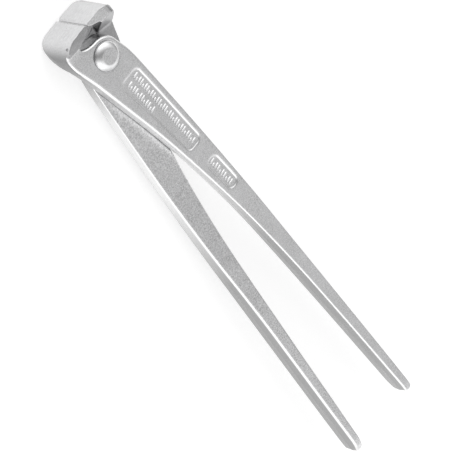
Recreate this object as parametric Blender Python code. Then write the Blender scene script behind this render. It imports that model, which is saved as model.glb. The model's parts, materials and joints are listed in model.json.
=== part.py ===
"""High-leverage end-cutting nippers, lying flat with the jaws closed.

Two identical drop-forged halves cross at a lap joint and turn on one solid rivet. The jaws point along +Y, the
rivet's axis is +Z, and the origin is under the middle of the tool, on the surface it lies on. Each half is drawn
about the rivet's axis, with its handle towards +X, its jaw towards -X and its lap face near z = 0; the rear half
is the same forging turned half a turn about Y. Lengths are millimetres until a mesh is written, in metres.
"""

import math

import bmesh
import bpy
from mathutils import Matrix, Vector

MM = 0.001

# Driving dimensions
OVERALL_LENGTH = 300.0
NOSE_REACH = 23.4  # rivet axis to the ground nose faces
JAW_HALF_WIDTH = 11.8  # mid-plane to a jaw's side flat
JOINT_HALF = 8.1  # mid-plane to the outer face of a joint plate
HANDLE_HALF = 6.3  # mid-plane to a handle's face
LAP_CLEARANCE = 0.15  # mid-plane to each lap face
EDGE_CLEARANCE = 0.15  # mid-line to each cutting edge
BOSS_RADIUS = 10.25  # rounded rim of the plate about the rivet
NOSE_CENTRE = Vector((-9.5, 13.6))  # the nose turns into the jaw's flank about this point
NOSE_RADIUS = 9.6
FLANK_BEND = 0.0165  # how fast the flank falls back towards the handle, per mm
JAW_PROUD = 0.08  # the jaw stands this far out of the joint plate's rim
TIP_RADIUS = 2.35  # half the handle's width at its rounded end
HANDLE_EDGE_RADIUS = 2.0
PLATE_EDGE_RADIUS = 1.2
LAP_EDGE_RADIUS = 0.4

# Rivet
PIN_RADIUS = 5.0
BORE_RADIUS = 5.3
HEAD_RADIUS = 7.85
HEAD_FLAT_RADIUS = 4.55
HEAD_RISE = 2.75  # from the plate to the head's flat
SEAT_RADIUS = 8.3  # shallow seat in the plate under each head
SEAT_DEPTH = 0.35
HEAD_CLEARANCE = 0.3

# Where a handle leaves the joint's height for its own, along the tool
FRONT_SLOPE = (-45.0, -150.0)
BACK_SLOPE = (-64.0, -190.0)

# Marking panels sunk into the outer face
PANEL_DEPTH = 0.5
LONG_PANEL_OUTER = ((9.2, -18.0), (10.8, -38.0), (12.1, -56.0), (13.6, -74.5))
LONG_PANEL_INNER = ((-3.9, -18.0), (-0.6, -38.0), (1.8, -56.0), (4.2, -74.5))
SHORT_PANEL_OUTER = ((14.2, -87.5), (14.9, -94.5), (15.5, -101.5), (16.1, -109.0))
SHORT_PANEL_INNER = ((7.0, -87.5), (8.0, -94.5), (8.9, -101.5), (9.9, -109.0))

# Key points of the handle's two edges, from the rounded tip to the joint
TIP_Y = NOSE_REACH - OVERALL_LENGTH + TIP_RADIUS
INNER_EDGE = (
    (18.8, TIP_Y), (17.05, -240), (14.9, -200), (12.45, -164), (8.8, -128), (3.4, -92), (-3.1, -56), (-11.3, -20),
)
OUTER_EDGE = (
    (23.5, TIP_Y), (22.8, -240), (21.85, -200), (20.95, -164), (20.0, -128), (18.15, -92), (15.95, -56), (13.8, -20),
)
HIP = ((13.8, -20), (13.2, -12.5), (12.2, -5.8), (10.3, 0.8))
THROAT = ((0.8, 10.2), (-2.6, 10.6), (-5.9, 11.5), (-8.2, 12.9), (-10.0, 14.6), (-10.6, 17.0), (-10.6, 19.5))

HANDLE_STEPS = 3
EDGE_STEPS = 3
ARC_STEPS = 7
TURN_STEPS = 48


def blend(t):
    t = min(max(t, 0.0), 1.0)
    return t * t * (3 - 2 * t)


def slope(y, span):
    """How far y has gone from the joint's height (0) to the handle's (1)."""
    return blend((span[0] - y) / (span[0] - span[1]))


def front_height(y):
    return JOINT_HALF + (HANDLE_HALF - JOINT_HALF) * slope(y, FRONT_SLOPE)


def back_height(y):
    return LAP_CLEARANCE - (HANDLE_HALF + LAP_CLEARANCE) * slope(y, BACK_SLOPE)


def front_radius(y):
    return PLATE_EDGE_RADIUS + (HANDLE_EDGE_RADIUS - PLATE_EDGE_RADIUS) * slope(y, (0.0, -70.0))


def back_radius(y):
    return LAP_EDGE_RADIUS + (HANDLE_EDGE_RADIUS - LAP_EDGE_RADIUS) * slope(y, (-20.0, -110.0))


def curve_through(keys, steps):
    """Points on a Catmull-Rom curve through the keys, with this many steps from each key to the next."""
    keys = [Vector(key) for key in keys]
    padded = [2 * keys[0] - keys[1], *keys, 2 * keys[-1] - keys[-2]]
    points = []
    for before, start, end, after in zip(padded, padded[1:], padded[2:], padded[3:]):
        for step in range(steps):
            t = step / steps
            linear = (end - before) * t
            square = (2 * before - 5 * start + 4 * end - after) * t**2
            cube = (3 * start - before - 3 * end + after) * t**3
            points.append(start + 0.5 * (linear + square + cube))
    return [*points, keys[-1]]


def arc(centre, radius, first, last, steps):
    """Points on an arc between two angles in degrees."""
    angles = [math.radians(first + (last - first) * step / steps) for step in range(steps + 1)]
    return [Vector((centre[0] + radius * math.cos(a), centre[1] + radius * math.sin(a))) for a in angles]


def write_mesh(name, points, faces):
    """A closed mesh in metres from points in millimetres, with its faces turned outwards."""
    mesh = bpy.data.meshes.new(name)
    mesh.from_pydata([Vector(point) * MM for point in points], [], faces)
    shape = bmesh.new()
    shape.from_mesh(mesh)
    bmesh.ops.remove_doubles(shape, verts=shape.verts, dist=1e-6)
    bmesh.ops.recalc_face_normals(shape, faces=shape.faces)
    shape.to_mesh(mesh)
    shape.free()
    return mesh


def inset(outline, distances):
    """The closed outline moved inwards, point by point. It runs clockwise, seen from +Z."""
    moved = []
    for index, point in enumerate(outline):
        ahead = (outline[(index + 1) % len(outline)] - point).normalized()
        behind = (point - outline[index - 1]).normalized()
        tangent = (ahead + behind).normalized()
        inward = Vector((tangent.y, -tangent.x))
        stretch = 1 / max(tangent.dot(ahead), 0.5)
        moved.append(point + inward * distances[index] * stretch)
    return moved


def slab(name, left, right, head, top, bottom, top_radius, bottom_radius, steps):
    """A slab with rounded edges. Its two long edges run the same way with the same number of points.

    Its heights and its edges' radii are functions of y. The head joins the ends of the long edges, where the
    heights no longer change.
    """
    outline = [*left, *head, *reversed(right)]
    rings = []
    for step in range(steps + 1):
        angle = math.radians(90 * step / steps)
        radii = [bottom_radius(point.y) for point in outline]
        inner = inset(outline, [radius * (1 - math.sin(angle)) for radius in radii])
        heights = [bottom(p.y) + radius * (1 - math.cos(angle)) for p, radius in zip(outline, radii)]
        rings.append([(*point, height) for point, height in zip(inner, heights)])
    for step in range(steps + 1):
        angle = math.radians(90 * step / steps)
        radii = [top_radius(point.y) for point in outline]
        inner = inset(outline, [radius * (1 - math.cos(angle)) for radius in radii])
        heights = [top(p.y) - radius * (1 - math.sin(angle)) for p, radius in zip(outline, radii)]
        rings.append([(*point, height) for point, height in zip(inner, heights)])
    size = len(outline)
    points = [point for ring in rings for point in ring]
    faces = []
    for level in range(len(rings) - 1):
        for index in range(size):
            after = (index + 1) % size
            faces.append((level * size + index, level * size + after, (level + 1) * size + after,
                          (level + 1) * size + index))
    for start in (0, (len(rings) - 1) * size):
        for index in range(len(left) - 1):
            faces.append((start + index, start + index + 1, start + size - 2 - index, start + size - 1 - index))
        if head:
            faces.append(tuple(range(start + len(left) - 1, start + size - len(right) + 1)))
    return write_mesh(name, points, faces)


def flank(y):
    """The plate's rim between the shoulder and the nose."""
    return NOSE_CENTRE.x - NOSE_RADIUS + FLANK_BEND * (NOSE_CENTRE.y - y) ** 2


def nose_arc(last, proud=0.0):
    """The rounded part of the nose, from the nose face to the angle last, in degrees."""
    return arc(NOSE_CENTRE, NOSE_RADIUS + proud, 92, last, ARC_STEPS)


def arm_slab():
    """Handle and joint plate in one piece, without the jaw."""
    tip_centre = Vector((INNER_EDGE[0][0] + TIP_RADIUS, TIP_Y))
    left = [*arc(tip_centre, TIP_RADIUS, 260, 200, 3), *curve_through(INNER_EDGE, HANDLE_STEPS)]
    right = [*arc(tip_centre, TIP_RADIUS, 280, 340, 3), *curve_through(OUTER_EDGE, HANDLE_STEPS)]
    shoulder = curve_through([INNER_EDGE[-1], (-14.1, -8), *[(flank(y), y) for y in (2.0, 6.0, 10.0)]], 3)
    boss = arc((0, 0), BOSS_RADIUS, 84, 8, 8)
    hip = reversed(curve_through(HIP, 3))
    throat = reversed(curve_through(THROAT, 3))
    head = [*shoulder[1:], *reversed(nose_arc(178)), *throat, *boss, *hip]
    return slab("arm_slab", left, right, head[:-1], front_height, back_height, front_radius, back_radius,
                EDGE_STEPS)


def jaw_outline(narrowed, outer_low, throat_low, throat_x, throat_top):
    """The jaw in plan at one height: cutting edge, ground nose, flank, underside, throat and blade back.

    The flank is this much narrower than the plate's rim; outer_low and throat_low are the y of the underside at
    the flank and at the throat.
    """
    rounded = nose_arc(172, JAW_PROUD)
    heights = [point.y for point in rounded] + [NOSE_CENTRE.y + (outer_low - NOSE_CENTRE.y) * 0.5, outer_low + 0.8]
    side = []
    for index, height in enumerate(heights):
        y = max(height, heights[-1] + 0.1 * (len(heights) - 1 - index))
        reach = max(NOSE_RADIUS + JAW_PROUD, y - NOSE_CENTRE.y)
        ground = NOSE_CENTRE.x - math.sqrt(reach**2 - max(y - NOSE_CENTRE.y, 0.0) ** 2)
        side.append(Vector((max(ground, flank(min(y, NOSE_CENTRE.y)) + narrowed), y)))
    return [
        Vector((-EDGE_CLEARANCE, NOSE_REACH - 0.9)),
        Vector((-EDGE_CLEARANCE - 0.9, NOSE_REACH)),
        Vector((-5.5, NOSE_REACH - 0.05)),
        *side,
        Vector((side[-1].x + 0.9, outer_low)),
        Vector((-throat_x - 2.5, throat_low)),
        Vector((-throat_x, throat_low)),
        Vector((-throat_x, throat_top)),
        Vector((-6.8, 18.4)),
        Vector((-4.0, 19.6)),
        Vector((-1.8, 20.5)),
    ]


def jaw_block():
    """The jaw, as a stack of plan outlines from one side flat to the other."""
    width = JAW_HALF_WIDTH
    levels = [
        (-width, jaw_outline(3.9, 16.9, 17.1, 7.2, 17.6)),
        (-width + 0.3, jaw_outline(3.5, 16.6, 16.9, 7.2, 17.5)),
        (-9.0, jaw_outline(1.4, 14.1, 15.0, 7.3, 17.4)),
        (-6.0, jaw_outline(0.7, 11.2, 12.7, 7.4, 17.3)),
        (-3.0, jaw_outline(0.25, 8.4, 10.4, 7.5, 17.2)),
        (0.0, jaw_outline(-JAW_PROUD, 5.6, 8.1, 7.6, 17.2)),
        (0.8, jaw_outline(-JAW_PROUD, 13.0, 13.0, 8.3, 17.0)),
        (JOINT_HALF - 1.1, jaw_outline(-JAW_PROUD, 13.4, 13.4, 9.4, 16.7)),
        (JOINT_HALF - 0.1, jaw_outline(0.5, 14.2, 14.4, 9.4, 16.7)),
        (JOINT_HALF + 0.9, jaw_outline(1.05, 16.0, 16.0, 9.3, 16.9)),
        (JOINT_HALF + 2.0, jaw_outline(1.4, 16.9, 16.9, 9.1, 17.2)),
        (width - 0.3, jaw_outline(1.6, 17.2, 17.2, 8.8, 17.4)),
        (width, jaw_outline(1.9, 17.4, 17.4, 8.7, 17.5)),
    ]
    size = len(levels[0][1])
    points = [(*point, height) for height, outline in levels for point in outline]
    faces = [tuple(range(size)), tuple(range(len(points) - size, len(points)))]
    for level in range(len(levels) - 1):
        for index in range(size):
            after = (index + 1) % size
            faces.append((level * size + index, level * size + after, (level + 1) * size + after,
                          (level + 1) * size + index))
    return write_mesh("jaw_block", points, faces)


def panel_cutter(name, inner, outer):
    """A sunk panel with rounded ends, its floor parallel to the outer face."""
    rounded = [0.0, 0.5, 0.85, 1.0]
    left = curve_through(inner, 3)
    right = curve_through(outer, 3)
    near, far = left[0].lerp(right[0], 0.5), left[-1].lerp(right[-1], 0.5)
    ends = []
    for middle, corner in ((far, left[-1]), (far, right[-1]), (near, left[0]), (near, right[0])):
        reach = Vector((0, 1.4 if middle is near else -1.4))
        ends.append([middle.lerp(corner, 0.25 + 0.25 * step) + reach * (1 - rounded[step]) for step in range(3)])
    left = [*ends[0], *reversed(left), *reversed(ends[2])]
    right = [*ends[1], *reversed(right), *reversed(ends[3])]

    def floor(y):
        return front_height(y) - PANEL_DEPTH

    def above(y):
        return front_height(y) + PANEL_DEPTH

    def edge(y):
        return 0.1

    return slab(name, left, right, [], above, floor, edge, edge, 1)


def turned(name, profile):
    """A solid of revolution about Z from (radius, height) pairs that run down the outer side, ends on the axis."""
    shape = bmesh.new()
    verts = [shape.verts.new((radius * MM, 0, height * MM)) for radius, height in profile]
    edges = [shape.edges.new(pair) for pair in zip(verts, verts[1:])]
    bmesh.ops.spin(shape, geom=[*verts, *edges], cent=(0, 0, 0), axis=(0, 0, 1), angle=math.tau,
                   steps=TURN_STEPS, use_merge=True)
    bmesh.ops.remove_doubles(shape, verts=shape.verts, dist=1e-6)
    bmesh.ops.recalc_face_normals(shape, faces=shape.faces)
    mesh = bpy.data.meshes.new(name)
    shape.to_mesh(mesh)
    shape.free()
    return mesh


def bore_profile():
    """The bore with a shallow seat for the head at the outer face."""
    seat = JOINT_HALF - SEAT_DEPTH
    return ((0, JOINT_HALF + 1), (SEAT_RADIUS, JOINT_HALF + 1), (SEAT_RADIUS, seat), (BORE_RADIUS, seat),
            (BORE_RADIUS, -1), (0, -1))


def rivet_profile():
    """The pin and its two formed heads: a flat, a domed flank and a rim sunk just into its seat."""
    rim = JOINT_HALF - SEAT_DEPTH + HEAD_CLEARANCE
    top = JOINT_HALF + HEAD_RISE
    head = [(0, top), (HEAD_FLAT_RADIUS, top)]
    for step in range(1, 7):
        angle = math.radians(15 * step)
        head.append((HEAD_FLAT_RADIUS + (HEAD_RADIUS - HEAD_FLAT_RADIUS) * math.sin(angle),
                     rim + 0.3 + (top - rim - 0.3) * math.cos(angle)))
    head += [(HEAD_RADIUS, rim), (PIN_RADIUS, rim)]
    return [*head, *[(radius, -height) for radius, height in reversed(head)]]


def helper(name, mesh):
    """An object that only shapes another one."""
    thing = bpy.data.objects.new(name, mesh)
    bpy.context.scene.collection.objects.link(thing)
    thing.hide_render = True
    thing.display_type = "WIRE"
    return thing


def forged_half():
    """One half: slab and jaw united, then bored, seated and marked. Both halves share this mesh."""
    blank = helper("blank", arm_slab())
    tools = [
        (helper("jaw", jaw_block()), "UNION"),
        (helper("bore", turned("bore", bore_profile())), "DIFFERENCE"),
        (helper("long_panel", panel_cutter("long_panel", LONG_PANEL_INNER, LONG_PANEL_OUTER)), "DIFFERENCE"),
        (helper("short_panel", panel_cutter("short_panel", SHORT_PANEL_INNER, SHORT_PANEL_OUTER)), "DIFFERENCE"),
    ]
    for tool, operation in tools:
        step = blank.modifiers.new(tool.name, "BOOLEAN")
        step.operation = operation
        step.object = tool
        step.solver = "EXACT"
    graph = bpy.context.evaluated_depsgraph_get()
    mesh = bpy.data.meshes.new_from_object(blank.evaluated_get(graph))
    mesh.name = "forged_half"
    for thing in [blank, *[tool for tool, _ in tools]]:
        bpy.data.objects.remove(thing)
    return mesh


def steel(name, colour, roughness):
    material = bpy.data.materials.new(name)
    material.use_nodes = True
    shader = material.node_tree.nodes["Principled BSDF"]
    shader.inputs["Base Color"].default_value = (*colour, 1)
    shader.inputs["Metallic"].default_value = 1.0
    shader.inputs["Roughness"].default_value = roughness
    return material


def piece(name, mesh, pivot, turn, material):
    """A named part on the rivet's axis, shaded smooth between its sharp edges."""
    mesh.shade_smooth()
    mesh.set_sharp_from_angle(angle=math.radians(35))
    thing = bpy.data.objects.new(name, mesh)
    bpy.context.scene.collection.objects.link(thing)
    thing.parent = pivot
    thing.rotation_euler = (0, turn, 0)
    thing.data.materials.append(material)
    return thing


def main():
    for thing in list(bpy.data.objects):
        bpy.data.objects.remove(thing)
    pivot = bpy.data.objects.new("pivot", None)
    bpy.context.scene.collection.objects.link(pivot)
    pivot.location = Vector((0, OVERALL_LENGTH / 2 - NOSE_REACH, JAW_HALF_WIDTH)) * MM
    half = forged_half()
    piece("front_arm", half, pivot, 0, steel("zinc_front", (0.62, 0.62, 0.62), 0.42))
    piece("rear_arm", half.copy(), pivot, math.pi, steel("zinc_rear", (0.60, 0.60, 0.60), 0.42))
    rivet = turned("pivot_rivet", rivet_profile())
    piece("pivot_rivet", rivet, pivot, 0, steel("zinc_rivet", (0.68, 0.68, 0.68), 0.35))
    bpy.data.objects["rear_arm"].data.materials.pop(index=0)


main()
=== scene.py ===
"""Looks for the end-cutting nippers: fine forged surfaces, zinc materials, floor, lights and camera.

Each forged half is described by one signed distance, in millimetres from the rivet's centre, and meshed on a
grid that follows the handle. The rear half is the same mesh turned half a turn about Y.
"""

import json
import math

import bpy
import numpy as np
from mathutils import Matrix, Vector


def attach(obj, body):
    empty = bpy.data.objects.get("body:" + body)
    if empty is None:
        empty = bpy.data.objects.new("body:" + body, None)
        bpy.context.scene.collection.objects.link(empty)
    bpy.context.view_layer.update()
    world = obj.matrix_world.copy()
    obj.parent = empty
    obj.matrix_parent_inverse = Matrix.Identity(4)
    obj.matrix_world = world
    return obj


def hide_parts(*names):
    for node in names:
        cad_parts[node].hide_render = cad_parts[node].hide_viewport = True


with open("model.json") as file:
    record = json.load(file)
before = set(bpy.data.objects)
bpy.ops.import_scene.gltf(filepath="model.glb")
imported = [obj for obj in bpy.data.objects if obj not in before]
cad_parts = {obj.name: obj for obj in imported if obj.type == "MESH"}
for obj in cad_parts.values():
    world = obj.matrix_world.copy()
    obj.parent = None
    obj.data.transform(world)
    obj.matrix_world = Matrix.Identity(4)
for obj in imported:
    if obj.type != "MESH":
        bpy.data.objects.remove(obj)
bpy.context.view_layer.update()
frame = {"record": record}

MM = 0.001
PIVOT = Vector(frame["record"]["behaviour"]["joints"][0]["pos_m"])

# Sizes, in millimetres
LENGTH = 300.0
NOSE_REACH = 23.4  # from the rivet's axis to the cutting edges
JAW_HALF = 11.8
JOINT_HALF = 8.1
HANDLE_HALF = 6.3
LAP = 0.15  # half the gap between the lap faces
EDGE_GAP = 0.03  # half the gap between the shut cutting edges
BEVEL = 1.35
BOSS_RADIUS = 10.25
NOSE_X, NOSE_Y, NOSE_RADIUS = -9.5, 13.6, 9.6
FLANK_BEND = 0.0165  # how fast the head's side curves in below the nose
FLANK_FOOT = 2.0  # Y where the head's side ends and the neck starts
TIP_RADIUS = 2.35
TIP_Y = NOSE_REACH - LENGTH + TIP_RADIUS
BORE_RADIUS = 5.3
SEAT_RADIUS, SEAT_DEPTH = 8.0, 0.25  # the shallow seat of a rivet head

# Outlines in plan, from the handle's end towards the jaw
INNER_EDGE = (
    (18.8, TIP_Y), (17.05, -240), (14.9, -200), (12.45, -164), (8.8, -128), (3.4, -92), (-3.1, -56),
    (-11.3, -20),
)
OUTER_EDGE = (
    (23.5, TIP_Y), (22.8, -240), (21.85, -200), (20.95, -164), (20.0, -128), (18.15, -92), (15.95, -56),
    (13.8, -20),
)
NECK = (-14.1, -8)
HIP = ((13.8, -20), (13.2, -12.5), (12.2, -5.8), (10.3, 0.8))
THROAT = ((0.8, 10.2), (-2.6, 10.6), (-5.9, 11.5), (-8.2, 12.9), (-10.0, 14.6), (-10.6, 17.0), (-10.6, 19.5))

# The handle's walls, edges and swept end
WALL_LEAN = 0.07  # how far a wall leans out for each millimetre towards the parting line
PARTING_HALF, PARTING_FALL, PARTING_PROUD = 0.5, 0.25, 0.1  # the parting line's half height, run-out and rise
PARTING_FLAT = 0.55  # half the height of the wall's upright middle
FRONT_EDGE, FRONT_EDGE_CHANGE = 1.7, -0.65  # radius at the joint, and its change down the handle
BACK_EDGE, BACK_EDGE_CHANGE = 0.45, 0.95  # the same on the back
SWEEP_START = 7.0  # how far above TIP_Y the end's faces start to close in
SWEEP_FRONT, SWEEP_BACK = 0.9, 2.6  # how far they close in

# The jaw
BACK_EASE, BACK_CURL, BACK_DRAW, BACK_POWER = 8.0, 3.8, 2.9, 1.6  # how its side draws in towards its back
LIP_Y, LIP_Z, LIP_RADIUS = 14.6, 10.7, 2.6  # the hollow below its front end
# Heights, and how far its side draws in there
LIP_TAPER = ((6.2, 0.0), (7.3, 0.5), (8.1, 1.25), (9.0, 1.35), (10.0, 1.45), (11.3, 1.6), (11.8, 1.9))
LIP_CORNER, LIP_CORNER_GAIN = 0.35, 2.1  # radius of its front corner, and how much it grows with height
LIP_CORNER_Z, LIP_CORNER_RUN = 7.6, 1.6
# Heights, and how far the throat's wall is set back there, from this Y down
THROAT_SHIFT = ((-11.8, 0.0), (0.0, 0.2), (7.0, 2.1), (9.0, 1.8), (11.8, 1.3))
THROAT_SHIFT_Y, THROAT_SHIFT_RUN = 18.9, 1.2
RAMP_FOOT = (5.6, -18.0, 0.24)  # Y there, at this X, and its change with X
RAMP_HEAD = (16.7, -15.5, 0.03)
RAMP_TOP, RAMP_SHARE = 0.6, 0.73  # its highest Z, and distance square to it for each millimetre along Y
FACE_LEAN_Y, FACE_LEAN_X = 0.085, 0.03  # the front end's fall for each millimetre from the edges, and across
FACE_LEAN_START, FACE_LEAN_MOST = -18.0, 1.2
END_EDGE, THROAT_EDGE, BACK_CORNER, RAMP_EDGE = 0.22, 0.25, 2.0, 0.5  # radii
# The fillet of jaw and joint plate: its radius, where it grows inside the jaw's outline, and its highest Z
JAW_FILL, JAW_FILL_START, JAW_FILL_RUN, JAW_FILL_TOP = 1.1, 0.3, 1.5, 1.2
NOTCH, NOTCH_RADIUS, NOTCH_EDGE = (-15.8, 21.1, 9.3), 0.9, 0.1

# Two sunk panels, each between an outer and an inner edge
PANEL_DEPTH = 0.6
PANEL_CORNER = 3.0
PANEL_DRAFT = 0.75  # how far a panel's wall leans out, from floor to face
PANEL_WALL_SHARE = 0.62  # distance square to the leaning wall, for each millimetre in plan
PANEL_FOOT_EDGE, PANEL_TOP_EDGE = 0.18, 0.3
LONG_PANEL = (
    ((9.2, -18.0), (10.8, -38.0), (12.1, -56.0), (13.6, -74.5)),
    ((-3.9, -18.0), (-0.6, -38.0), (1.8, -56.0), (4.2, -74.5)),
)
SHORT_PANEL = (
    ((14.2, -87.5), (14.9, -94.5), (15.5, -101.5), (16.1, -109.0)),
    ((7.0, -87.5), (8.0, -94.5), (8.9, -101.5), (9.9, -109.0)),
)

# Raised bars on the panels' floors: rows as first centre, last centre and count
MARK_ROWS = (
    ((6.4, -20.5), (9.75, -72.0), 30),
    ((0.9, -21.5), (2.4, -41.5), 12),
    ((11.1, -89.0), (12.4, -106.0), 10),
)
MARK_LENGTH, MARK_WIDTH = 3.6, 0.95
MARK_SHORT = 0.55  # the length of every third bar, as a share
# Heights over the panel's floor, and a bar's half width there, as a share of its width
MARK_PROFILE = ((-0.3, 0.64), (0.12, 0.6), (0.36, 0.46), (0.52, 0.26), (0.57, 0.1))
MARK_SEGMENTS = 10

# The rivet
HEAD_BASE, HEAD_TOP = JOINT_HALF - SEAT_DEPTH + 0.1, JOINT_HALF + 2.75
HEAD_FLAT, HEAD_RADIUS, PIN_RADIUS = 4.5, 7.9, 5.0
HEAD_EDGE = 0.3  # height of the head's upright edge
HEAD_STEPS, RIVET_TURNS = 12, 96
CONE_SHARE, ROUND_SHARE, ROUNDNESS = 0.42, 0.58, 0.93  # how the dome falls, as a cone and as an arc

# Where finishes change
JAW_FOOT, LIP_FOOT, CHEEK_X = 12.0, 8.3, -12.0
GROUND_REACH = 0.25  # how near the jaw's outline a ground face is


# ---------------------------------------------------------------- curves in plan


def curve_through(keys, steps):
    """Points on a Catmull-Rom curve through the keys."""
    keys = np.array(keys, float)
    padded = np.vstack([2 * keys[0] - keys[1], keys, 2 * keys[-1] - keys[-2]])
    points = []
    for p0, p1, p2, p3 in zip(padded, padded[1:], padded[2:], padded[3:]):
        slope = p2 - p0
        bend = 2 * p0 - 5 * p1 + 4 * p2 - p3
        twist = 3 * p1 - p0 - 3 * p2 + p3
        for t in np.arange(steps) / steps:
            points.append(p1 + 0.5 * (slope * t + bend * t**2 + twist * t**3))
    return np.array([*points, keys[-1]])


def arc(x, y, radius, first, last, steps):
    """Points on an arc between two angles in degrees."""
    angles = np.radians(np.linspace(first, last, steps + 1))
    return np.stack([x + radius * np.cos(angles), y + radius * np.sin(angles)], axis=1)


def blend(t):
    """A smooth step from 0 to 1."""
    t = np.clip(t, 0.0, 1.0)
    return t * t * (3 - 2 * t)


def down_handle(y, start, run):
    """A smooth step from 0 at start to 1, over a run towards the handle's end."""
    return blend((start - y) / run)


def flank(y):
    """X of the head's side."""
    return NOSE_X - NOSE_RADIUS + FLANK_BEND * np.maximum(NOSE_Y - y, 0.0) ** 2


def flank_points(first, last):
    return [(float(flank(y)), float(y)) for y in np.linspace(first, last, 9)]


def front_height(y):
    return JOINT_HALF + (HANDLE_HALF - JOINT_HALF) * down_handle(y, -45.0, 105.0)


def back_height(y):
    return LAP - (HANDLE_HALF + LAP) * down_handle(y, -64.0, 126.0)


def arm_outline():
    """The handle, joint plate and jaw in plan."""
    tip_x = INNER_EDGE[0][0] + TIP_RADIUS
    side = flank_points(FLANK_FOOT, NOSE_Y)[:-1]
    return np.vstack([
        arc(tip_x, TIP_Y, TIP_RADIUS, 270, 188, 8),
        curve_through(INNER_EDGE, 8)[:-1],
        curve_through([INNER_EDGE[-1], NECK, side[0]], 6)[:-1],
        side,
        arc(NOSE_X, NOSE_Y, NOSE_RADIUS, 180, 92, 24),
        curve_through(THROAT, 5)[::-1],
        arc(0, 0, BOSS_RADIUS, 84, 8, 24),
        curve_through(HIP, 6)[::-1][:-1],
        curve_through(OUTER_EDGE, 8)[::-1],
        arc(tip_x, TIP_Y, TIP_RADIUS, 352, 278, 7),
    ])


def jaw_outline():
    """The jaw in plan, down to the rivet's axis."""
    return np.vstack([
        [(-EDGE_GAP, NOSE_REACH - BEVEL), (-EDGE_GAP - BEVEL, NOSE_REACH), (-5.5, NOSE_REACH - 0.06)],
        arc(NOSE_X, NOSE_Y, NOSE_RADIUS, 92, 180, 28),
        flank_points(NOSE_Y, 0.0)[1:],
        [(-EDGE_GAP, 0.0)],
    ])


def jaw_side():
    """The side of the throat's wall that the jaw is on, closed well away from the jaw."""
    return np.array([
        (-EDGE_GAP, NOSE_REACH - BEVEL), (-1.8, 20.5), (-4.0, 19.6), (-6.5, 18.55), (-7.3, 17.5),
        (-7.3, -5.0), (-40.0, -5.0), (-40.0, 40.0), (-EDGE_GAP, 40.0),
    ])


def panel_outline(outer, inner):
    """A panel in plan, drawn in by its corner radius all round."""
    edges = []
    for keys in (outer, inner):
        keys = np.array(keys, float)
        for end, beside in ((0, 1), (-1, -2)):
            along = keys[beside] - keys[end]
            keys[end] += along / np.linalg.norm(along) * PANEL_CORNER
        edges.append(curve_through(keys, 5))
    right, left = edges
    across = right - left
    across /= np.linalg.norm(across, axis=1)[:, None]
    return np.vstack([right - across * PANEL_CORNER, (left + across * PANEL_CORNER)[::-1]])


def polygon_distance(points, x, y):
    """Distance to a closed polygon, negative inside."""
    best = np.full(x.shape, 1e9)
    inside = np.zeros(x.shape, bool)
    for (ax, ay), (bx, by) in zip(points, np.roll(points, -1, axis=0)):
        ex, ey = bx - ax, by - ay
        length = ex * ex + ey * ey
        if length < 1e-12:
            continue
        along = np.clip(((x - ax) * ex + (y - ay) * ey) / length, 0.0, 1.0)
        best = np.minimum(best, (x - ax - along * ex) ** 2 + (y - ay - along * ey) ** 2)
        if ay != by:
            inside ^= ((ay > y) != (by > y)) & (x < ax + (y - ay) / ey * ex)
    return np.where(inside, -1.0, 1.0) * np.sqrt(best)


ARM, JAW, JAW_SIDE = arm_outline(), jaw_outline(), jaw_side()
PANELS = [panel_outline(*LONG_PANEL), panel_outline(*SHORT_PANEL)]


# ---------------------------------------------------------------- the forged half as a distance


def round_max(a, b, radius):
    """Intersection with its edge rounded."""
    edge = np.hypot(np.maximum(radius + a, 0), np.maximum(radius + b, 0))
    return np.minimum(-radius, np.maximum(a, b)) + edge


def round_min(a, b, radius):
    """Union with its corner filled."""
    corner = np.hypot(np.maximum(radius - a, 0), np.maximum(radius - b, 0))
    return np.maximum(radius, np.minimum(a, b)) - corner


def slab_distance(y, z, rim):
    """The handle and joint plate, between a front and a back face. rim is the distance to their outline."""
    top, bottom = front_height(y), back_height(y)
    rise = np.abs(z - (top + bottom) / 2)
    half = (top - bottom) / 2
    # The handle's walls lean out to a trimmed parting line half way up
    lean = WALL_LEAN * down_handle(y, -22.0, 40.0)
    rim = rim - lean * np.clip(half - rise, 0.0, half - PARTING_FLAT)
    proud = PARTING_PROUD * down_handle(y, -30.0, 30.0)
    rim = rim - proud * (1 - blend((rise - PARTING_HALF) / PARTING_FALL))
    sweep = np.clip((TIP_Y + SWEEP_START - y) / (SWEEP_START + TIP_RADIUS), 0.0, 1.0) ** 2
    top, bottom = top - SWEEP_FRONT * sweep, bottom + SWEEP_BACK * sweep
    front_edge = FRONT_EDGE + FRONT_EDGE_CHANGE * down_handle(y, 0.0, 70.0)
    back_edge = BACK_EDGE + BACK_EDGE_CHANGE * down_handle(y, -20.0, 90.0)
    return np.maximum(round_max(rim, z - top, front_edge), round_max(rim, bottom - z, back_edge))


def side_wall(x, y, z):
    """The head's side, drawn in towards the jaw's back end and above the joint plate."""
    eased = np.clip(-z / BACK_EASE, 0.0, 1.0) ** 2
    curled = BACK_DRAW * np.clip((-z - BACK_EASE) / BACK_CURL, 0.0, 1.1) ** BACK_POWER
    return flank(y) + eased + curled + np.interp(z, *zip(*LIP_TAPER)) - x


def throat_wall(x, y, z):
    """The throat's side of the jaw, set back by height except at the cutting edge."""
    away = np.clip((THROAT_SHIFT_Y - y) / THROAT_SHIFT_RUN, 0.0, 1.0)
    return polygon_distance(JAW_SIDE, x + np.interp(z, *zip(*THROAT_SHIFT)) * away, y)


def ramp_wall(x, y, z):
    """The ramp that rises from the lap face to the jaw's back end."""
    share = np.clip(-z / JAW_HALF, 0.0, 1.0)
    foot, head = (there + (x - start) * change for there, start, change in (RAMP_FOOT, RAMP_HEAD))
    ramp = ((1 - share) * foot + share * head - y) * RAMP_SHARE
    return np.where(z < RAMP_TOP, ramp, -5.0)


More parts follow.
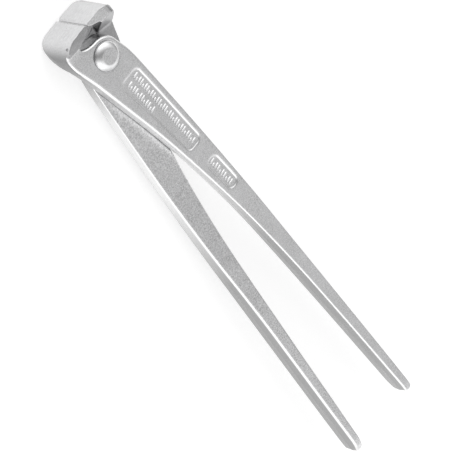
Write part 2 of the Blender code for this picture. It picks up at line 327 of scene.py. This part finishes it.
def lip_wall(y, z):
    """The hollow between the joint plate and the jaw's front end."""
    hollow = LIP_RADIUS - np.hypot(np.maximum(y - LIP_Y, 0.0), LIP_Z - z)
    return np.where(z < LIP_Z, hollow, LIP_Y + LIP_RADIUS - y)


def end_faces(x, y, z):
    """The jaw's level back end, and its front end, which falls off towards the joint."""
    lean = FACE_LEAN_Y * (NOSE_REACH - y) - FACE_LEAN_X * (x - FACE_LEAN_START)
    return np.where(z > 0, z + np.clip(lean, 0.0, FACE_LEAN_MOST), -z) - JAW_HALF


def jaw_distance(x, y, z, plan):
    """The jaw. plan is the distance to its outline."""
    side = side_wall(x, y, z)
    shape = round_max(plan, end_faces(x, y, z), END_EDGE)
    shape = round_max(shape, throat_wall(x, y, z), THROAT_EDGE)
    shape = np.maximum(shape, round_max(side, -JAW_HALF - z, BACK_CORNER))
    corner = LIP_CORNER + LIP_CORNER_GAIN * blend((z - LIP_CORNER_Z) / LIP_CORNER_RUN)
    shape = np.maximum(shape, round_max(side, lip_wall(y, z), corner))
    return round_max(shape, ramp_wall(x, y, z), RAMP_EDGE)


def notch_distance(x, y, z):
    """A small punched notch in the nose, near its front end."""
    notch_x, notch_y, notch_z = NOTCH
    return np.sqrt((x - notch_x) ** 2 + (y - notch_y) ** 2 + (z - notch_z) ** 2) - NOTCH_RADIUS


def plan_distances(x, y):
    return [polygon_distance(points, x, y) for points in (ARM, JAW, *PANELS)]


def arm_distance(x, y, z, plan=None):
    """Signed distance to the forged half. plan holds the distances that don't change with z, if known."""
    rim, jaw_plan, *panels = plan if plan is not None else plan_distances(x, y)
    slab = slab_distance(y, z, rim)
    jaw = jaw_distance(x, y, z, jaw_plan)
    inside = np.clip((-jaw_plan - JAW_FILL_START) / JAW_FILL_RUN, 0.01, 1.0)
    fill = JAW_FILL * inside * (1 - blend(z / JAW_FILL_TOP)) + 0.001
    shape = np.where(y > 0, round_min(slab, jaw, fill), slab)
    radius = np.hypot(x, y)
    seat = np.maximum(radius - SEAT_RADIUS, JOINT_HALF - SEAT_DEPTH - z)
    shape = np.maximum(shape, -np.minimum(seat, radius - BORE_RADIUS))
    depth = z - front_height(y)
    for panel in panels:
        draft = PANEL_DRAFT * np.clip(depth / PANEL_DEPTH + 1, 0.0, 1.5)
        wall = (panel - PANEL_CORNER - draft) * PANEL_WALL_SHARE
        sunk = round_max(wall, -PANEL_DEPTH - depth, PANEL_FOOT_EDGE)
        shape = round_max(shape, -sunk, PANEL_TOP_EDGE)
    return round_max(shape, -notch_distance(x, y, z), NOTCH_EDGE)


# ---------------------------------------------------------------- meshing


def spans(start, *stretches):
    """Grid values from start on, through stretches that are each an end and a step."""
    values = []
    for end, step in stretches:
        count = max(round(abs(end - start) / step), 1)
        values.append(np.linspace(start, end, count + 1)[:-1])
        start = end
    return np.concatenate([*values, [start]])


def handle_grid(fine):
    """Nodes of a grid that follows the handle, with short steps at edges: x[i, j], y[i, j] and z[j, k]."""
    k = 1.0 if fine else 2.0  # how much longer the steps are
    ys = spans(
        -277.6, (-272.5, 0.35 * k), (-112.5, 2.0 * k), (-107.0, 0.45 * k), (-90.0, 1.2),
        (-84.5, 0.45 * k), (-78.5, 1.0), (-72.0, 0.45 * k), (-21.0, 1.2 * k), (-15.0, 0.45 * k),
        (6.0, 0.6 * k), (24.0, 0.36 * k),
    )
    # Shares of the way from the inner to the outer edge, and then from the back to the front face
    across = spans(
        -0.36, (-0.12, 0.016 * k), (0.12, 0.0125 * k), (0.22, 0.02 * k), (0.34, 0.0125 * k),
        (0.74, 0.016 * k), (0.86, 0.0125 * k), (0.94, 0.02), (1.05, 0.0125 * k), (1.26, 0.03),
    )
    up = spans(
        -1.54, (-1.4, 0.025 * k), (-0.09, 0.055 * k), (0.21, 0.03 * k), (0.45, 0.06 * k), (0.55, 0.025),
        (0.79, 0.06 * k), (1.09, 0.03 * k), (1.39, 0.045 * k), (1.5, 0.025 * k),
    )
    inner, outer = curve_through(INNER_EDGE, 8), curve_through(OUTER_EDGE, 8)
    on_handle = np.minimum(ys, INNER_EDGE[-1][1])
    left = np.interp(on_handle, inner[:, 1], inner[:, 0])
    right = np.interp(on_handle, outer[:, 1], outer[:, 0])
    x = left[None, :] + across[:, None] * (right - left)[None, :]
    bottom, top = back_height(ys), front_height(ys)
    z = bottom[:, None] + up[None, :] * (top - bottom)[:, None]
    y = np.broadcast_to(ys[None, :], x.shape)
    return x, y, z


CELL_CORNERS = np.array([(a, b, c) for a in (0, 1) for b in (0, 1) for c in (0, 1)])


def cell_points(cells, field, nodes):
    """The middle of where the surface crosses each cell's edges."""
    flat = field.reshape(-1)
    total, crossings = np.zeros((len(cells), 3)), np.zeros(len(cells))
    for start in CELL_CORNERS:
        for axis in np.nonzero(start == 0)[0]:
            stop = start.copy()
            stop[axis] = 1
            first = np.ravel_multi_index((cells + start).T, field.shape)
            last = np.ravel_multi_index((cells + stop).T, field.shape)
            f, g = flat[first], flat[last]
            crosses = (f < 0) != (g < 0)
            share = np.where(crosses, f / np.where(crosses, f - g, 1.0), 0.0)[:, None]
            total += np.where(crosses[:, None], nodes[first] * (1 - share) + nodes[last] * share, 0.0)
            crossings += crosses
    return total / crossings[:, None]


def cell_quads(number, solid):
    """A quad through the four cells round each grid edge that the surface crosses, facing out."""
    quads = []
    for axis in range(3):
        low, high = [slice(None)] * 3, [slice(None)] * 3
        low[axis], high[axis] = slice(None, -1), slice(1, None)
        start, stop = solid[tuple(low)], solid[tuple(high)]
        others = [other for other in range(3) if other != axis]
        if axis == 1:
            others = others[::-1]
        for outward in (True, False):
            edges = np.argwhere((start & ~stop) if outward else (~start & stop))
            corners = []
            for da, db in ((0, 0), (1, 0), (1, 1), (0, 1)):
                cell = edges.copy()
                cell[:, others[0]] -= 1 - da
                cell[:, others[1]] -= 1 - db
                corners.append(number[tuple(cell.T)])
            quads.append(np.stack(corners if outward else corners[::-1], axis=1))
    return np.concatenate(quads)


def surface_net(x, y, z):
    """Points and quads on the zero of arm_distance, from grid nodes x[i, j], y[i, j], z[j, k]."""
    plan = [value[:, :, None] for value in plan_distances(x, y)]
    xs, ys = x[:, :, None], y[:, :, None]
    zs = np.broadcast_to(z[None, :, :], (x.shape[0], *z.shape))
    field = arm_distance(xs, ys, zs, plan)
    xs, ys = np.broadcast_to(xs, field.shape), np.broadcast_to(ys, field.shape)
    nodes = np.stack([xs, ys, zs], axis=-1).reshape(-1, 3)
    solid = field < 0
    i, j, k = (nodes_along - 1 for nodes_along in field.shape)
    count = np.zeros((i, j, k), int)
    for a, b, c in CELL_CORNERS:
        count += solid[a:i + a, b:j + b, c:k + c]
    cells = np.argwhere((count > 0) & (count < 8))
    number = np.full(count.shape, -1)
    number[tuple(cells.T)] = np.arange(len(cells))
    return cell_points(cells, field, nodes), cell_quads(number, solid)


def settle(points):
    """Moves points onto the zero of arm_distance, by Newton steps of limited length."""
    probe, longest, flattest = 0.02, 0.25, 0.25
    for _ in range(3):
        x, y, z = points.T
        here = arm_distance(x, y, z)
        slope = np.stack([
            arm_distance(x + probe, y, z) - here,
            arm_distance(x, y + probe, z) - here,
            arm_distance(x, y, z + probe) - here,
        ], axis=1) / probe
        size = np.maximum((slope**2).sum(axis=1), flattest)
        move = slope * (here / size)[:, None]
        length = np.linalg.norm(move, axis=1)[:, None]
        points = points - move * np.minimum(1.0, longest / np.maximum(length, 1e-9))
    return points


# One finish is painted shade: darker zinc where shade falls, in hollows, the throat and under the halves
FINISHES = ("skin", "back", "jaw", "painted_shade", "ground")


def finishes(points, quads, rear):
    """The finish of each face, as an index into FINISHES, from where the face is and which way it turns. One
    finish is painted shade, a darker zinc for the throat, hollows, the notch and faces that look down.
    """
    corners = points[quads]
    x, y, z = corners.mean(axis=1).T
    turned = np.cross(corners[:, 2] - corners[:, 0], corners[:, 3] - corners[:, 1])
    size = np.maximum(np.linalg.norm(turned, axis=1), 1e-12)
    ahead, up = turned[:, 1] / size, turned[:, 2] / size
    level = np.abs(up)
    parting = (np.abs(z - (front_height(y) + back_height(y)) / 2) < 1.0) & (y < -20.0)
    outside = np.abs(polygon_distance(JAW, x, y)) < GROUND_REACH
    outside |= (x < CHEEK_X) & (ahead > -0.3) & (y > JAW_FOOT) & (z < 0.0)
    rules = (
        ("back", up < 0.0),
        ("jaw", (y > JAW_FOOT) | (z > LIP_FOOT)),
        # Painted shade on the jaw's front end, the ramp and what is below the joint
        ("painted_shade", (z > LIP_FOOT) & (up > 0.35)),
        ("painted_shade", (y > 0.0) & (y < JAW_FOOT) & (z < -0.3)),
        ("painted_shade", (ahead < -0.3) & (y > 3.0) & (z < 0.6)),
        # Painted shade on the throat's walls, the lap face and faces that look down where the half lies
        ("painted_shade", (level < 0.9) & (y > 7.0) & (x > CHEEK_X) & (z < 6.9)),
        ("painted_shade", (up < -0.6) & (y > -8.0) & (np.abs(z) < 9.0)),
        ("painted_shade", ((-up if rear else up) < -0.1) & ~parting),
        ("ground", outside & (y > 3.0) & (x < -0.2) & (np.abs(z) < JAW_HALF - 0.1) & (level < 0.9)),
        # Painted shade in the notch
        ("painted_shade", notch_distance(x, y, z) < 0.1),
    )
    finish = np.full(len(quads), FINISHES.index("skin"))
    for name, where in rules:
        finish[where] = FINISHES.index(name)
    return finish


# ---------------------------------------------------------------- objects


def mesh_object(name, points, faces, body, node=None):
    """A piece from points in metres, riding on a body and standing in for a CAD node, if one is given."""
    mesh = bpy.data.meshes.new(name)
    mesh.from_pydata(points, [], faces)
    mesh.update()
    piece = bpy.data.objects.new(name, mesh)
    bpy.context.scene.collection.objects.link(piece)
    mesh.shade_smooth()
    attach(piece, body)
    if node:
        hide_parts(node)
    return piece


def placed(points, rear):
    """Points in metres in the row frame, from millimetres about the rivet."""
    points = np.asarray(points, float) * ([-1, 1, -1] if rear else [1, 1, 1])
    return (points * MM + np.array(PIVOT)).tolist()


def forged_halves(materials):
    """Both halves from one mesh. materials are in the order of FINISHES."""
    points, quads = surface_net(*handle_grid(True))
    points = settle(points)
    used = np.unique(quads)
    index = np.full(len(points), -1)
    index[used] = np.arange(len(used))
    points, quads = points[used], index[quads]
    for side in ("front", "rear"):
        rear = side == "rear"
        shape = placed(points, rear)
        piece = mesh_object(f"{side}_half_forging", shape, quads.tolist(), f"{side}_half", f"{side}_arm")
        for material in materials:
            piece.data.materials.append(material)
        piece.data.polygons.foreach_set("material_index", finishes(points, quads, rear).astype(np.int32))


def rivet_profile():
    """Radii and heights from the front head's centre, over its dome and along the pin, to the rear head's."""
    half = [(0.0, HEAD_TOP - 0.04), (2.2, HEAD_TOP - 0.02), (3.6, HEAD_TOP), (4.2, HEAD_TOP)]
    half.append((HEAD_FLAT, HEAD_TOP - 0.03))
    for step in range(1, HEAD_STEPS + 1):
        along = step / HEAD_STEPS
        arched = (1 - math.sqrt(1 - ROUNDNESS * along**2)) / (1 - math.sqrt(1 - ROUNDNESS))
        fall = (HEAD_TOP - HEAD_BASE - HEAD_EDGE) * (CONE_SHARE * along + ROUND_SHARE * arched)
        half.append((HEAD_FLAT + (HEAD_RADIUS - HEAD_FLAT) * along, HEAD_TOP - fall - 0.03))
    half += [(HEAD_RADIUS - 0.03, HEAD_BASE + 0.1), (HEAD_RADIUS - 0.2, HEAD_BASE), (PIN_RADIUS, HEAD_BASE)]
    return half + [(radius, -height) for radius, height in reversed(half)]


def rivet_piece(dome, flat_face):
    """Pin and two formed heads, turned about the rivet's axis."""
    profile = rivet_profile()
    turns, rings = RIVET_TURNS, len(profile) - 2
    points, faces = [], []
    for radius, height in profile[1:-1]:
        for angle in np.arange(turns) / turns * math.tau:
            points.append((radius * math.cos(angle), radius * math.sin(angle), height))
    poles = [len(points), len(points) + 1]
    points += [(0, 0, profile[0][1]), (0, 0, profile[-1][1])]
    last = (rings - 1) * turns
    for base in range(0, last, turns):
        for step in range(turns):
            after = (step + 1) % turns
            faces.append((base + step, base + turns + step, base + turns + after, base + after))
    for step in range(turns):
        after = (step + 1) % turns
        faces.append((poles[0], step, after))
        faces.append((poles[1], last + after, last + step))
    piece = mesh_object("rivet", placed(points, False), faces, "rear_half", "pivot_rivet")
    piece.data.set_sharp_from_angle(angle=math.radians(50))
    piece.data.materials.append(dome)
    piece.data.materials.append(flat_face)
    for face in piece.data.polygons:
        out = face.center - PIVOT
        face.material_index = int(math.hypot(out.x, out.y) < (HEAD_FLAT - 0.3) * MM)


def bar_points(centre, along, across, length):
    """Rings of points up a bar with round ends, from below the panel's floor to its top."""
    floor = float(front_height(centre[1])) - PANEL_DEPTH
    points = []
    for rise, share in MARK_PROFILE:
        for step in range(MARK_SEGMENTS):
            turn = math.tau * step / MARK_SEGMENTS
            reach = (length - MARK_WIDTH) / 2 * (1 if math.cos(turn) > 0 else -1)
            offset = across * (reach + MARK_WIDTH * share * math.cos(turn))
            offset = offset + along * MARK_WIDTH * share * math.sin(turn)
            points.append((*(centre + offset), floor + rise))
    return points


def bar_faces(first):
    """Faces of a bar whose points start at first."""
    rings, turns = len(MARK_PROFILE), MARK_SEGMENTS
    last = first + (rings - 1) * turns
    faces = []
    for base in range(first, last, turns):
        for step in range(turns):
            after = (step + 1) % turns
            faces.append((base + after, base + step, base + turns + step, base + turns + after))
    faces.append(tuple(first + step for step in range(turns)))
    faces.append(tuple(last + step for step in reversed(range(turns))))
    return faces


def raised_marks(material):
    """Rows of plain raised bars on the panels' floors, one closed rounded bar each."""
    points, faces = [], []
    for start, end, count in MARK_ROWS:
        start, end = np.array(start), np.array(end)
        along = (end - start) / np.linalg.norm(end - start)
        across = np.array([-along[1], along[0]])
        for number in range(count):
            length = MARK_LENGTH * (MARK_SHORT if number % 3 == 1 else 1.0)
            centre = start + (end - start) * number / (count - 1) + across * (length - MARK_LENGTH) / 2
            faces += bar_faces(len(points))
            points += bar_points(centre, along, across, length)
    for side in ("front", "rear"):
        piece = mesh_object(f"{side}_marks", placed(points, side == "rear"), faces, f"{side}_half")
        piece.data.set_sharp_from_angle(angle=math.radians(40))
        piece.data.materials.append(material)


# ---------------------------------------------------------------- nodes


def feed(tree, socket, value):
    """Gives an input a plain value, or links an output to it."""
    if isinstance(value, bpy.types.NodeSocket):
        tree.links.new(value, socket)
    else:
        socket.default_value = value


def maths(tree, operation, *values):
    made = tree.nodes.new("ShaderNodeMath")
    made.operation = operation
    for socket, value in zip(made.inputs, values):
        feed(tree, socket, value)
    return made.outputs[0]


def along_axis(tree, vector, axis):
    made = tree.nodes.new("ShaderNodeSeparateXYZ")
    tree.links.new(vector, made.inputs[0])
    return made.outputs[axis]


def noise(tree, place, scale, detail):
    made = tree.nodes.new("ShaderNodeTexNoise")
    for key, value in (("Vector", place), ("Scale", scale), ("Detail", detail), ("Roughness", 0.6)):
        feed(tree, made.inputs[key], value)
    return made.outputs["Fac"]


def ranged(tree, value, span, onto, interpolation="LINEAR"):
    """A value carried from one span onto another, held at its ends."""
    made = tree.nodes.new("ShaderNodeMapRange")
    made.interpolation_type = interpolation
    tree.links.new(value, made.inputs["Value"])
    for key, limit in zip(("From Min", "From Max", "To Min", "To Max"), (*span, *onto)):
        made.inputs[key].default_value = limit
    return made.outputs["Result"]


def mixed(tree, share, first, second, blending="MIX"):
    """A mix of two colours."""
    made = tree.nodes.new("ShaderNodeMix")
    made.data_type = "RGBA"
    made.blend_type = blending
    factor_input, first_input, second_input, colour_output = 0, 6, 7, 2
    feed(tree, made.inputs[factor_input], share)
    feed(tree, made.inputs[first_input], first)
    feed(tree, made.inputs[second_input], second)
    return made.outputs[colour_output]


# ---------------------------------------------------------------- materials


NOISE_SPAN = (0.3, 0.7)  # where most of a noise's values lie
MOTTLE_SCALE, MOTTLE_DARK, MOTTLE_LIGHT = 90.0, 0.95, 1.04
ROUGHNESS_SPREAD = (-0.04, 0.05)
BUMP_DISTANCE = 0.07 * MM

# Tones of the handles' steep faces, by the size of the normal's Z, and along Y for the side walls: a painted
# highlight on rounded edges, and on the walls a painted reflection, lightest a little below the joint, with
# painted shade towards the handle's end and towards the jaw
EDGE_LEVEL, EDGE_HIGHLIGHT_TONE, EDGE_GRAIN = (0.8, 0.96), 0.86, 0.3
WALL_LEVEL = (0.2, 0.4)
WALL_REFLECTION_Y, WALL_REFLECTION_TONES = (PIVOT.y - 150.0 * MM, PIVOT.y - 85.0 * MM), (0.36, 0.84)
# Painted shade on the side walls towards the jaw
HEAD_SHADE_Y, HEAD_SHADE_SHARES = (PIVOT.y - 35.0 * MM, PIVOT.y + 2.0 * MM), (1.0, 0.34)

# Painted shade on the nose, darker towards its foot
NOSE_PAINTED_SHADE_Y, NOSE_PAINTED_SHADE = (PIVOT.y + 15.5 * MM, PIVOT.y + 23.8 * MM), (0.38, 1.0)


def steep_painted_light(tree, place, tinted, grain):
    """The colour and grain with painted light mixed in: a painted highlight on rounded edges and painted
    reflection and shade on side walls, smoother than the skin.
    """
    level = maths(tree, "ABSOLUTE", along_axis(tree, place.outputs["Normal"], "Z"))
    spot = along_axis(tree, place.outputs["Object"], "Y")
    wall_painted_tone = maths(
        tree, "MULTIPLY", ranged(tree, spot, WALL_REFLECTION_Y, WALL_REFLECTION_TONES), ranged(tree, spot, HEAD_SHADE_Y, HEAD_SHADE_SHARES)
    )
    edge_highlight_tone = (EDGE_HIGHLIGHT_TONE, EDGE_HIGHLIGHT_TONE, EDGE_HIGHLIGHT_TONE, 1)
    tinted = mixed(tree, ranged(tree, level, EDGE_LEVEL, (1.0, 0.0)), tinted, edge_highlight_tone)
    tinted = mixed(tree, ranged(tree, level, WALL_LEVEL, (1.0, 0.0)), tinted, wall_painted_tone)
    return tinted, ranged(tree, level, EDGE_LEVEL, (EDGE_GRAIN * grain, grain))


def zinc(name, colour, roughness, grain, grain_size, specks, brushed=(1, 1, 1), fades=False, walls=False):
    """Zinc plated steel: mottled tone, specks, varying roughness and a fine skin.

    grain_size is in millimetres, and specks are the darkest and lightest grain, as shares of the colour.
    brushed scales the grain along X, Y and Z. fades paints shade on the nose, darker towards its foot, and
    walls paints a highlight on rounded edges and reflection and shade on side walls.
    """
    material = bpy.data.materials.new(name)
    material.use_nodes = True
    tree = material.node_tree
    shader = tree.nodes["Principled BSDF"]
    place = tree.nodes.new("ShaderNodeTexCoord")
    stretch = tree.nodes.new("ShaderNodeMapping")
    feed(tree, stretch.inputs["Vector"], place.outputs["Object"])
    feed(tree, stretch.inputs["Scale"], brushed)
    coarse = noise(tree, place.outputs["Object"], MOTTLE_SCALE, 4.0)
    fine = noise(tree, stretch.outputs["Vector"], 1.0 / (grain_size * MM), 3.0)
    dark, light = ((*[part * share for part in colour], 1) for share in (MOTTLE_DARK, MOTTLE_LIGHT))
    tinted = mixed(tree, ranged(tree, coarse, NOISE_SPAN, (0.0, 1.0)), dark, light)
    tinted = mixed(tree, 1.0, tinted, ranged(tree, fine, NOISE_SPAN, specks), "MULTIPLY")
    if fades:
        # Painted shade: the nose darker towards its foot
        spot = along_axis(tree, place.outputs["Object"], "Y")
        fade = ranged(tree, spot, NOSE_PAINTED_SHADE_Y, NOSE_PAINTED_SHADE, "SMOOTHSTEP")
        tinted = mixed(tree, 1.0, tinted, fade, "MULTIPLY")
    strength = grain
    if walls:
        # Painted highlight on rounded edges and painted reflection and shade on side walls
        tinted, strength = steep_painted_light(tree, place, tinted, grain)
    rough = ranged(tree, coarse, NOISE_SPAN, [roughness + spread for spread in ROUGHNESS_SPREAD])
    bump = tree.nodes.new("ShaderNodeBump")
    for key, value in (("Distance", BUMP_DISTANCE), ("Strength", strength), ("Height", fine)):
        feed(tree, bump.inputs[key], value)
    for key, value in (
        ("Metallic", 1.0), ("Base Color", tinted), ("Roughness", rough), ("Normal", bump.outputs["Normal"])
    ):
        feed(tree, shader.inputs[key], value)
    return material


# ---------------------------------------------------------------- stage


FLOOR_HALF, FLOOR_DROP = 4.0, 0.3 * MM  # metres
FLOOR_TONE, FLOOR_GLOW = 0.6, 0.6

# Broad soft lights as (azimuth, elevation, tightness, strength)
STUDIO_LIGHTS = (
    (45, 6, 12, 0.5), (90, 6, 12, 0.45), (180, 6, 12, 0.2), (225, 6, 12, 0.5), (270, 6, 12, 0.15),
    (315, 6, 12, 0.15), (22, 32, 8, 1.1), (67, 32, 8, 1.35), (112, 32, 8, 0.35), (202, 32, 8, 1.4),
    (247, 32, 8, 0.9), (292, 32, 8, 0.32), (337, 32, 8, 0.36), (90, 62, 8, 0.15), (270, 62, 8, 0.5),
    (290, 8, 14, 0.8),
)

SENSOR_WIDTH, CAMERA_LENS = 36.0, 480.7195  # millimetres
CAMERA_CLIP = 20.0  # metres
CAMERA_PLACE = Vector((-1077.7, 1496.1, 2368.7)) * MM  # from the rivet's centre
CAMERA_RIGHT = Vector((0.5838, -0.5216, 0.6222))
CAMERA_BACK = Vector((-0.3509, 0.5289, 0.7727))


def floor():
    mesh = bpy.data.meshes.new("floor")
    corners = [(x * FLOOR_HALF, y * FLOOR_HALF, 0) for x, y in ((-1, -1), (1, -1), (1, 1), (-1, 1))]
    mesh.from_pydata(corners, [], [(0, 1, 2, 3)])
    thing = bpy.data.objects.new("floor", mesh)
    bpy.context.scene.collection.objects.link(thing)
    thing.location.z = -FLOOR_DROP
    material = bpy.data.materials.new("pale_floor")
    material.use_nodes = True
    shader = material.node_tree.nodes["Principled BSDF"]
    shader.inputs["Base Color"].default_value = (FLOOR_TONE, FLOOR_TONE, FLOOR_TONE, 1)
    shader.inputs["Roughness"].default_value = 0.9
    shader.inputs["Specular IOR Level"].default_value = 0.1
    shader.inputs["Emission Color"].default_value = (1, 1, 1, 1)
    shader.inputs["Emission Strength"].default_value = FLOOR_GLOW
    thing.data.materials.append(material)


def studio():
    """A white sky whose brightness is the sum of the studio lights."""
    made = bpy.data.worlds.new("studio")
    made.use_nodes = True
    tree = made.node_tree
    place = tree.nodes.new("ShaderNodeTexCoord")
    total = 0.0
    for azimuth, elevation, tightness, strength in STUDIO_LIGHTS:
        turn, rise = math.radians(azimuth), math.radians(elevation)
        towards = tree.nodes.new("ShaderNodeVectorMath")
        towards.operation = "DOT_PRODUCT"
        tree.links.new(place.outputs["Generated"], towards.inputs[0])
        towards.inputs[1].default_value = (
            math.cos(rise) * math.cos(turn), math.cos(rise) * math.sin(turn), math.sin(rise)
        )
        fall = maths(tree, "MULTIPLY_ADD", towards.outputs["Value"], tightness, -tightness)
        glow = maths(tree, "MULTIPLY", maths(tree, "EXPONENT", fall), strength)
        total = maths(tree, "ADD", glow, total)
    sky = tree.nodes["Background"]
    sky.inputs["Color"].default_value = (1, 1, 1, 1)
    tree.links.new(total, sky.inputs["Strength"])
    bpy.context.scene.world = made


def camera():
    data = bpy.data.cameras.new("camera")
    data.sensor_width = SENSOR_WIDTH
    data.lens = CAMERA_LENS
    data.clip_end = CAMERA_CLIP
    thing = bpy.data.objects.new("camera", data)
    bpy.context.scene.collection.objects.link(thing)
    back = CAMERA_BACK.normalized()
    up = back.cross(CAMERA_RIGHT.normalized()).normalized()
    turn = Matrix((up.cross(back), up, back)).transposed()
    thing.matrix_world = Matrix.Translation(PIVOT + CAMERA_PLACE) @ turn.to_4x4()
    bpy.context.scene.camera = thing


# ---------------------------------------------------------------- the scene


forged_halves([
    # The skin and back carry a painted highlight on rounded edges and painted reflection and shade on side
    # walls
    zinc("zinc_forged_skin_painted_light", (0.66, 0.66, 0.665), 0.28, 0.5, 0.6, (0.76, 1.19), walls=True),
    zinc("zinc_forged_back_painted_light", (0.67, 0.67, 0.675), 0.28, 0.6, 0.75, (0.68, 1.26), walls=True),
    zinc("zinc_forged_jaw", (0.7, 0.7, 0.705), 0.28, 0.5, 0.7, (0.78, 1.17)),
    # Painted shade: a darker zinc for the throat, hollows, the notch and faces that look down
    zinc("zinc_painted_shade", (0.43, 0.43, 0.435), 0.34, 0.3, 0.7, (0.85, 1.12)),
    # The ground face carries painted shade on the nose, darker towards its foot
    zinc("zinc_ground_face_painted_shade", (0.7, 0.7, 0.705), 0.3, 0.25, 0.6, (0.88, 1.08), (0.3, 1, 1), fades=True),
])
# The bars' lighter zinc is a painted highlight
raised_marks(zinc("zinc_raised_mark_painted_highlight", (0.86, 0.86, 0.865), 0.26, 0.1, 0.5, (0.96, 1.03)))
rivet_piece(
    zinc("zinc_rivet_head", (0.76, 0.76, 0.765), 0.24, 0.15, 0.9, (0.95, 1.04)),
    zinc("zinc_rivet_flat", (0.66, 0.66, 0.665), 0.28, 0.5, 0.6, (0.75, 1.2)),
)
floor()
studio()
camera()
bpy.context.scene.view_settings.view_transform = "Standard"
